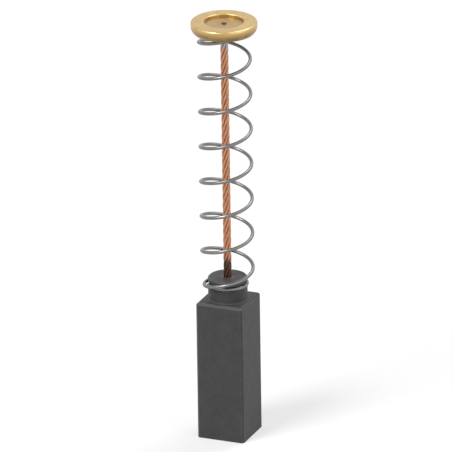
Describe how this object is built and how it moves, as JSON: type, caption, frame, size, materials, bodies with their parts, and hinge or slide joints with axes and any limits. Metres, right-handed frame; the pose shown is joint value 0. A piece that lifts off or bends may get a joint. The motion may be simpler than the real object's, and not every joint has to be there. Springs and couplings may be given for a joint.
{
  "type": "carbon brush",
  "caption": "Square carbon contact with a round grooved neck, a long compression spring, a stranded copper shunt inside it and a round pressed brass contact cap.",
  "frame": {"origin": "centre of the contact face, the end of the carbon that runs on the commutator", "axes": "+Z along the brush from the contact face to the cap, +X and +Y square to the carbon's sides"},
  "size_m": [0.0084, 0.0084, 0.0556],
  "materials": {
    "carbon": "pressed carbon-graphite, dark grey with a dull sheen",
    "tamping": "tamped copper powder, dull brown",
    "copper": "bare stranded copper",
    "spring_steel": "drawn spring wire",
    "cap_brass": "bright pressed brass",
    "solder": "tin solder, smooth and bright"
  },
  "bodies": {
    "carbon": {"carbon_block": "carbon", "tamping_plug": "tamping", "shunt_lead": "copper", "spring": "spring_steel"},
    "cap": {"contact_cap": "cap_brass", "solder_joint": "solder"}
  },
  "joints": [
    {"name": "cap_press", "type": "slide", "parent": "carbon", "child": "cap", "axis": [0, 0, -1], "range_m": [0, 0.024], "stiffness_N_per_m": 170, "deforming": ["spring", "shunt_lead"]}
  ]
}
